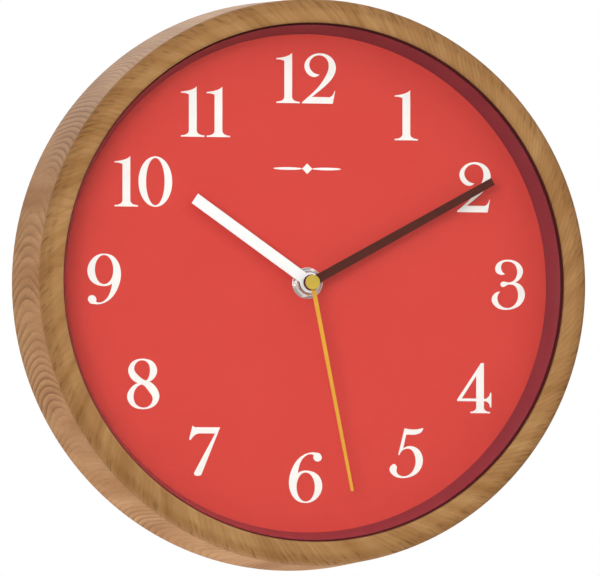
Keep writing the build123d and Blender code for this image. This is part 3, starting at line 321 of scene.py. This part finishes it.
def spacer_plastic():
    """Dark red moulded plastic, half glossy."""
    s = Surface("spacer_plastic", Specular_IOR_Level=0.5)
    here = s.place()
    cloud = s.noise(here, 60, detail=3)
    grain = s.noise(here, 4000, detail=2)
    s.colour(s.mix(cloud, srgb(122, 40, 50), srgb(132, 44, 54)))
    s.roughness(grain, 0.26, 0.36)
    s.bump(grain, 0.01 * MM, 0.3)
    return s.material


def lacquer(name, light, dark):
    """Sprayed satin lacquer with a little orange peel."""
    s = Surface(name, Specular_IOR_Level=0.15, Coat_Weight=0.05, Coat_Roughness=0.2)
    here = s.place()
    cloud = s.noise(here, 220, detail=3)
    peel = s.noise(here, 2200, detail=1)
    s.colour(s.mix(cloud, dark, light))
    s.roughness(peel, 0.32, 0.42)
    s.bump(peel, 0.012 * MM, 0.3)
    return s.material


def metal(name, light, dark, low, high, stretch=(1, 1, 1), scale=3000, depth=0.006):
    """Bare or plated metal with fine marks drawn out along one direction."""
    s = Surface(name, Metallic=1.0)
    marks = s.noise(s.place(stretch), scale, detail=3, roughness=0.6)
    cloud = s.noise(s.place(), 180, detail=2)
    s.colour(s.mix(cloud, dark, light))
    s.roughness(marks, low, high)
    s.bump(marks, depth * MM, 0.4)
    return s.material


def plastic(name, light, dark, low, high, grain_scale, depth):
    """Moulded plastic with a spark-eroded grain."""
    s = Surface(name, Specular_IOR_Level=0.45)
    here = s.place()
    cloud = s.noise(here, 90, detail=2)
    grain = s.noise(here, grain_scale, detail=2, roughness=0.6)
    s.colour(s.mix(cloud, dark, light))
    s.roughness(grain, low, high)
    s.bump(grain, depth * MM, 0.6)
    return s.material


def hardboard():
    """Pressed fibre board with the screen pattern of its rear face."""
    s = Surface("hardboard", Specular_IOR_Level=0.3)
    here = s.place()
    x, _, z = s.split(here)
    screen_waves = 2900.0       # radians per metre
    rows = s.math("SINE", s.math("MULTIPLY", s.math("ADD", x, z), screen_waves))
    columns = s.math("SINE", s.math("MULTIPLY", s.math("SUBTRACT", x, z), screen_waves))
    screen = s.math("MULTIPLY", rows, columns)
    fibre = s.noise(here, 900, detail=5, roughness=0.7)
    cloud = s.noise(here, 40, detail=4)
    tone = s.mix(cloud, srgb(104, 76, 50), srgb(133, 100, 68))
    fibred = s.mix(0.55, tone, s.ramp(fibre, (0.3, 0.5), (0.7, 1.0)), "MULTIPLY")
    s.colour(s.mix(s.ramp(screen, (0.0, 0.0), (1.0, 0.22)), fibred, srgb(70, 48, 30)))
    s.roughness(fibre, 0.55, 0.8)
    s.bump(fibre, 0.05 * MM, 0.4)
    s.bump(screen, 0.08 * MM, 0.5)
    return s.material


def winding():
    """Enamelled copper wire, laid side by side along the coil."""
    s = Surface("enamelled_wire", Metallic=0.75, Coat_Weight=0.4, Coat_Roughness=0.15)
    x = s.split(s.place())[0]
    wire_waves = 42000          # radians per metre
    turns = s.math("SINE", s.math("MULTIPLY", x, wire_waves))
    # Painted shade between the wires and painted highlight on their crests, following the wire ridges
    s.colour(s.mix(s.ramp(turns, (0.0, 0.0), (1.0, 1.0)), srgb(120, 52, 24), srgb(196, 100, 52)))
    s.roughness(turns, 0.25, 0.4)
    s.bump(turns, 0.03 * MM, 0.6)
    return s.material


def battery_jacket():
    """Steel ends and a plain printed jacket with one pale band."""
    s = Surface("battery_jacket", Coat_Weight=0.5, Coat_Roughness=0.12)
    here = s.place()
    x = s.split(here)[0]
    length = cell_high.x - cell_low.x
    along = s.math("DIVIDE", s.math("SUBTRACT", x, cell_low.x), length)
    steel, navy, pale = srgb(176, 176, 178), srgb(38, 62, 96), srgb(200, 204, 206)
    jacket_start, band_start, band_end, jacket_end = 0.022, 0.74, 0.8, 0.952
    bands = s.ramp(along, (0.0, steel), (jacket_start, navy), (band_start, pale),
                   (band_end, navy), (jacket_end, steel))
    bands.node.color_ramp.interpolation = "CONSTANT"
    bare = s.ramp(along, (0.0, 1.0), (jacket_start, 0.0), (jacket_end, 1.0))
    bare.node.color_ramp.interpolation = "CONSTANT"
    scuff = s.noise(here, 700, detail=4, roughness=0.7)
    s.colour(s.mix(0.15, bands, s.ramp(scuff, (0.3, 0.6), (0.7, 1.0)), "MULTIPLY"))
    s.link(bare, s.shader.inputs["Metallic"])
    s.roughness(scuff, 0.24, 0.36)
    s.bump(scuff, 0.01 * MM, 0.3)
    return s.material


nickel = metal("bright_nickel", (0.93, 0.91, 0.88), (0.85, 0.83, 0.80), 0.18, 0.28)
zinc_steel = metal("zinc_plated_steel", (0.62, 0.62, 0.63), (0.50, 0.51, 0.52), 0.24, 0.4,
                   stretch=(1, 1, 0.1), scale=2600)
black_case = plastic("case_plastic", (0.022, 0.022, 0.024), (0.015, 0.015, 0.016), 0.42, 0.6,
                     3600, 0.03)
acetal = plastic("natural_acetal", (0.80, 0.79, 0.74), (0.74, 0.73, 0.67), 0.28, 0.4, 2500, 0.01)

looks = {
    "lens": glass(),
    "spacer_ring": spacer_plastic(),
    "dial_sheet": dial_paper(),
    "dial_numerals": numeral_ink(),
    "dial_board": hardboard(),
    "retaining_points": zinc_steel,
    "hanger_plate": zinc_steel,
    "rubber_washer": plastic("rubber", (0.03, 0.03, 0.03), (0.02, 0.02, 0.02), 0.7, 0.85,
                             1500, 0.04),
    "threaded_bushing": metal("turned_brass", (0.80, 0.58, 0.28), (0.70, 0.48, 0.22), 0.2, 0.32),
    "dial_washer": nickel,
    "mounting_nut": nickel,
    "hour_hand": lacquer("white_lacquer", (0.93, 0.93, 0.92), (0.88, 0.88, 0.87)),
    "minute_hand": lacquer("brown_lacquer", srgb(82, 32, 20), srgb(74, 27, 16)),
    "second_hand": lacquer("yellow_lacquer", srgb(226, 168, 56), srgb(216, 156, 46)),
    "second_hand_cap": plastic("yellow_cap", srgb(200, 172, 58), srgb(190, 162, 50), 0.3, 0.4,
                               2600, 0.01),
    "movement_base": black_case,
    "movement_cover": black_case,
    "setting_knob": plastic("red_knob", srgb(170, 42, 34), srgb(150, 34, 28), 0.32, 0.45,
                            2600, 0.015),
    "rotor": plastic("red_acetal", srgb(170, 52, 40), srgb(150, 44, 34), 0.3, 0.42, 2500, 0.01),
    "rotor_magnet": metal("ferrite", (0.16, 0.16, 0.17), (0.11, 0.11, 0.12), 0.4, 0.55),
    "coil_winding": winding(),
    "circuit_board": plastic("solder_mask", (0.03, 0.17, 0.07), (0.02, 0.12, 0.05), 0.25, 0.35,
                             1800, 0.01),
    "chip": plastic("epoxy", (0.02, 0.02, 0.02), (0.012, 0.012, 0.012), 0.2, 0.3, 1200, 0.02),
    "battery": battery_jacket(),
}
for name in ("stator", "coil_core"):
    looks[name] = metal(name + "_steel", (0.56, 0.56, 0.58), (0.46, 0.46, 0.48), 0.3, 0.45, (0.08, 1, 1))
for name in ("quartz_crystal", "contact_positive", "contact_negative", "clutch_spring", "clutch_bush"):
    looks[name] = metal(name + "_metal", (0.70, 0.70, 0.71), (0.58, 0.58, 0.60), 0.18, 0.32)


def paint(piece, material):
    """Put one material in every slot of a piece."""
    if not piece.material_slots:
        piece.data.materials.append(material)
    for slot in piece.material_slots:
        slot.material = material


for name, piece in nodes.items():
    paint(piece, looks.get(name, acetal))
nodes["lens"].visible_shadow = False


# ---------------------------------------------------------------- mesh helpers
def new_piece(name, mesh, material, body, smooth_angle=35):
    """A mesh object with its material, body and slot; smooth except at sharp corners."""
    piece = bpy.data.objects.new(name, mesh)
    scene.collection.objects.link(piece)
    mesh.materials.append(material)
    mesh.polygons.foreach_set("use_smooth", [True] * len(mesh.polygons))
    mesh.set_sharp_from_angle(angle=radians(smooth_angle))
    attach(piece, body)
    return piece


def arc(centre, radius, start, end, steps):
    """Points on an arc about a centre, angles in degrees."""
    points = []
    for i in range(steps + 1):
        angle = radians(start + (end - start) * i / steps)
        points.append((centre[0] + radius * cos(angle), centre[1] + radius * sin(angle)))
    return points


# ---------------------------------------------------------------- hoop
def hoop_section():
    """Closed section of the hoop as (radius, height), from the lip's rear edge outward."""
    shoulder = (front_radius - shoulder_round, frame_depth - shoulder_round)
    lip = (opening_radius + opening_round, frame_depth - opening_round)
    foot = (back_radius - back_round, back_round)
    section = [(opening_radius, lens_front)]
    section += arc(lip, opening_round, 180, 90, 10)
    face_steps = 6
    for i in range(1, face_steps):
        share = i / face_steps
        section.append((lip[0] + (shoulder[0] - lip[0]) * share, frame_depth))
    section += arc(shoulder, shoulder_round, 90, 0, 14)
    wall_steps = 12
    for i in range(1, wall_steps):
        share = i / wall_steps
        section.append((front_radius + (back_radius - front_radius) * share,
                        shoulder[1] + (back_round - shoulder[1]) * share))
    section += arc(foot, back_round, 0, -90, 5)
    chamfer = 0.4 * MM
    section += [(bore_radius + chamfer, 0), (bore_radius, chamfer), (bore_radius, lens_front)]
    return section


def make_hoop():
    """The turned hoop.

    Its grain attribute wraps round it and over its shoulder. It leans on the face, and runs
    straight on the side wall.
    """
    turns, grain_radius, lean = 384, 120 * MM, 0.9
    section = hoop_section()
    across = [0.0]
    for (r0, h0), (r1, h1) in zip(section, section[1:]):
        across.append(across[-1] + ((r1 - r0) ** 2 + (h1 - h0) ** 2) ** 0.5)
    bm = bmesh.new()
    layer = bm.verts.layers.float_vector.new("grain")
    rings = []
    for i in range(turns):
        angle = tau * i / turns
        ring = []
        for (radius, height), reach in zip(section, across):
            vert = bm.verts.new((radius * cos(angle), -height, radius * sin(angle)))
            leaned = angle - lean * min(reach, wall_start) / grain_radius
            vert[layer] = (grain_radius * cos(leaned), grain_radius * sin(leaned), reach)
            ring.append(vert)
        rings.append(ring)
    count = len(section)
    for i in range(turns):
        here, after = rings[i], rings[(i + 1) % turns]
        for j in range(count):
            k = (j + 1) % count
            bm.faces.new((here[j], here[k], after[k], after[j]))
    bmesh.ops.recalc_face_normals(bm, faces=bm.faces)
    mesh = bpy.data.meshes.new("hoop")
    bm.to_mesh(mesh)
    bm.free()
    piece = new_piece("hoop", mesh, wood(), "case")
    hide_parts("frame_ring")
    return piece


make_hoop()


# ---------------------------------------------------------------- marks moulded on the movement case
case_back = base_high.y
mark_height = 0.4 * MM
knob_centre = ((knob_low.x + knob_high.x) / 2, (knob_low.z + knob_high.z) / 2)
knob_radius = (knob_high.x - knob_low.x) / 2


def raise_strip(bm, inner, outer, closed):
    """A raised strip between two rows of (x, z) points on the case's rear face."""
    count = len(inner)
    rows = []
    for (xi, zi), (xo, zo) in zip(inner, outer):
        row = []
        for x, z, y in ((xi, zi, 0), (xi, zi, mark_height), (xo, zo, mark_height), (xo, zo, 0)):
            row.append(bm.verts.new((x, case_back + y, z)))
        rows.append(row)
    for i in range(count if closed else count - 1):
        here, after = rows[i], rows[(i + 1) % count]
        for j in range(3):
            bm.faces.new((here[j], here[j + 1], after[j + 1], after[j]))
    if not closed:
        bm.faces.new(rows[0])
        bm.faces.new(rows[-1])


def raise_arrow(bm, start, end):
    """A turning arrow beside the knob, between two bearings in degrees."""
    radius, half, steps = knob_radius + 3.4 * MM, 0.35 * MM, 14
    head_half, head_turn = 1.1 * MM, 14
    inner = arc(knob_centre, radius - half, start, end, steps)
    outer = arc(knob_centre, radius + half, start, end, steps)
    raise_strip(bm, inner, outer, closed=False)
    inner = arc(knob_centre, radius - head_half, end, end, 1)[:1]
    outer = arc(knob_centre, radius + head_half, end, end, 1)[:1]
    tip = arc(knob_centre, radius, end + head_turn, end, 1)[0]
    raise_strip(bm, inner + [tip], outer + [tip], closed=False)


def raise_bar(bm, centre, half_x, half_z):
    """A raised bar of these half sizes."""
    x, z = centre
    low = [(x - half_x, z - half_z), (x + half_x, z - half_z)]
    high = [(x - half_x, z + half_z), (x + half_x, z + half_z)]
    raise_strip(bm, low, high, closed=False)


def rounded_rectangle(low, high, radius):
    """Points around a rectangle with round corners, anticlockwise."""
    corners = ((high[0] - radius, high[1] - radius, 0), (low[0] + radius, high[1] - radius, 90),
               (low[0] + radius, low[1] + radius, 180), (high[0] - radius, low[1] + radius, 270))
    points = []
    for x, z, start in corners:
        points += arc((x, z), radius, start, start + 90, 6)
    return points


def make_case_marks():
    """Border, polarity signs, a ring round the knob and two turning arrows."""
    bm = bmesh.new()
    inset, border_width, border_round, border_lift = 2.6 * MM, 0.7 * MM, 2.2 * MM, 2.4 * MM
    low = (base_low.x + inset, cell_high.z + border_lift)
    high = (base_high.x - inset, base_high.z - inset)
    inner_low = (low[0] + border_width, low[1] + border_width)
    inner_high = (high[0] - border_width, high[1] - border_width)
    raise_strip(bm, rounded_rectangle(inner_low, inner_high, border_round - border_width),
                rounded_rectangle(low, high, border_round), closed=True)

    ring_inner = knob_radius + 1.0 * MM
    ring_outer = ring_inner + 0.8 * MM
    ring_end, ring_steps = 354, 59
    raise_strip(bm, arc(knob_centre, ring_inner, 0, ring_end, ring_steps),
                arc(knob_centre, ring_outer, 0, ring_end, ring_steps), closed=True)
    for start in (100, 280):
        raise_arrow(bm, start, start + 60)

    reach, half, sign_inset = 1.7 * MM, 0.35 * MM, 5 * MM
    sign_z = cell_high.z + 6.4 * MM
    minus_x, plus_x = cell_low.x + sign_inset, cell_high.x - sign_inset
    for x in (minus_x, plus_x):
        raise_bar(bm, (x, sign_z), reach, half)
    for side in (1, -1):
        raise_bar(bm, (plus_x, sign_z + side * (reach + half) / 2), half, (reach - half) / 2)
    bmesh.ops.remove_doubles(bm, verts=bm.verts, dist=1e-6)
    bmesh.ops.recalc_face_normals(bm, faces=bm.faces)
    mesh = bpy.data.meshes.new("case_marks")
    bm.to_mesh(mesh)
    bm.free()
    piece = new_piece("case_marks", mesh, black_case, "case")
    bevel = piece.modifiers.new("soft_edge", "BEVEL")
    bevel.width = 0.1 * MM
    bevel.segments = 2


make_case_marks()


# ---------------------------------------------------------------- light and stage
def add_area(name, place, aim, size, power):
    """A soft box aimed at a point, not seen by the camera."""
    data = bpy.data.lights.new(name, "AREA")
    data.shape = "RECTANGLE"
    data.size, data.size_y = size
    data.energy = power
    light = bpy.data.objects.new(name, data)
    light.location = place
    light.rotation_mode = "QUATERNION"
    light.rotation_quaternion = (Vector(aim) - Vector(place)).to_track_quat("-Z", "Y")
    light.visible_camera = False
    scene.collection.objects.link(light)


def add_world(seen=1.0, glow=0.24):
    """A white surround that shows pure white and lights the object more softly."""
    world = bpy.data.worlds.new("surround")
    world.use_nodes = True
    tree = world.node_tree
    shown = tree.nodes["Background"]
    shown.inputs["Color"].default_value = (1, 1, 1, 1)
    shown.inputs["Strength"].default_value = seen
    soft = tree.nodes.new("ShaderNodeBackground")
    soft.inputs["Color"].default_value = (1, 1, 1, 1)
    soft.inputs["Strength"].default_value = glow
    ray = tree.nodes.new("ShaderNodeLightPath")
    mix = tree.nodes.new("ShaderNodeMixShader")
    tree.links.new(ray.outputs["Is Camera Ray"], mix.inputs[0])
    tree.links.new(soft.outputs[0], mix.inputs[1])
    tree.links.new(shown.outputs[0], mix.inputs[2])
    tree.links.new(mix.outputs[0], tree.nodes["World Output"].inputs["Surface"])
    scene.world = world


def add_floor():
    """A pale floor well below the hung clock."""
    drop, half = 1.6, 10.0
    bm = bmesh.new()
    corners = ((-half, -half), (half, -half), (half, half), (-half, half))
    bm.faces.new([bm.verts.new((x, y, -drop)) for x, y in corners])
    mesh = bpy.data.meshes.new("floor")
    bm.to_mesh(mesh)
    bm.free()
    floor = bpy.data.objects.new("floor", mesh)
    s = Surface("pale_floor")
    cloud = s.noise(s.place(), 6, detail=3)
    s.colour(s.mix(cloud, (0.9, 0.9, 0.9), (0.93, 0.93, 0.93)))
    s.roughness(cloud, 0.6, 0.75)
    mesh.materials.append(s.material)
    scene.collection.objects.link(floor)
    floor.visible_glossy = False


add_world()
add_floor()
middle = (0, -dial_front, 0)
add_area("top_box", (0.6, -1.1, 1.1), middle, (1.8, 1.2), 6.5)
add_area("right_box", (1.5, -1.3, 0.35), middle, (1.6, 1.2), 6.5)
add_area("front_box", (-1.5, -2.2, 0.4), middle, (1.2, 1.2), 24)
add_area("ceiling", (0, -0.5, 3.5), (0, -0.5, 0), (20.0, 20.0), 620)
add_area("left_fill", (-1.3, 0.2, 0.1), middle, (0.9, 0.9), 2.0)
add_area("under_box", (-0.15, 0.02, -0.28), (-0.15, 0.02, 0), (0.6, 0.16), 0.5)
add_area("rear_fill", (0.3, 2.4, 1.5), middle, (2.4, 2.0), 16)

bpy.context.view_layer.update()
